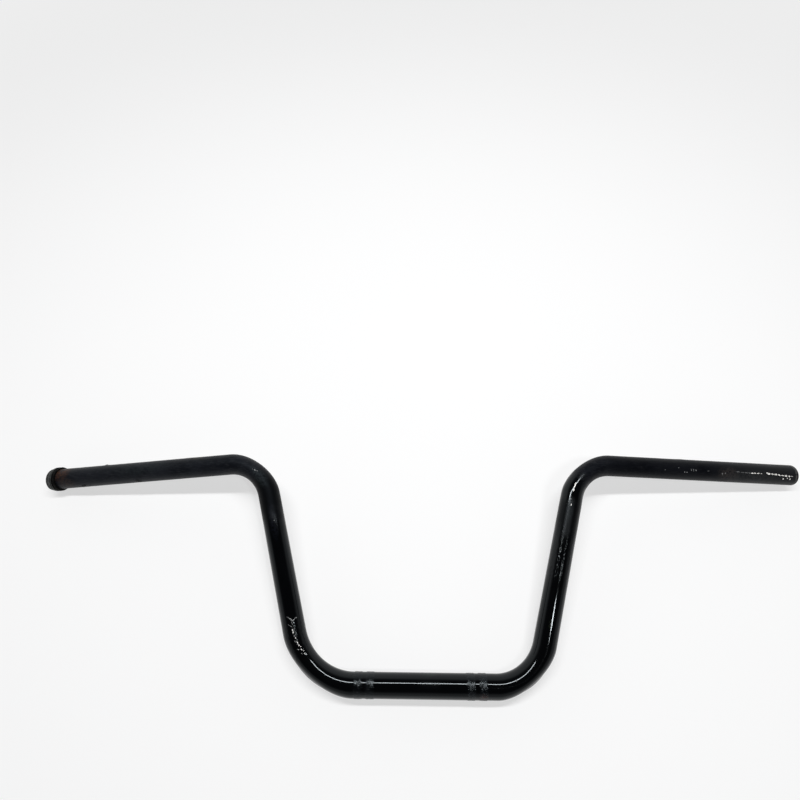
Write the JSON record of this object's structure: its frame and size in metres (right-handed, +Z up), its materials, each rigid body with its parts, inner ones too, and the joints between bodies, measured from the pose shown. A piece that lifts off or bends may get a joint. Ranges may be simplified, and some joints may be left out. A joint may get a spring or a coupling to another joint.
{
  "type": "quad bike handlebar",
  "caption": "Bent black steel tube handlebar with a raised U, swept grip runs, knurled clamp bands and a leftover grip ring on one end.",
  "frame": {"origin": "on the floor, under the middle of the whole bar's box", "axes": "X along the clamp run, from the end with the ring (-X) to the bare end (+X); +Y from the clamp run towards the grip runs; +Z up, as the bar lies at rest on the floor"},
  "size_m": [0.8305, 0.2324, 0.0484],
  "materials": {
    "painted_tube": "gloss black paint, satin where the grips sat",
    "ring_rubber": "dusty dark rubber"
  },
  "bodies": {
    "root": {"handlebar_tube": "painted_tube", "left_end_ring": "ring_rubber"}
  },
  "joints": []
}
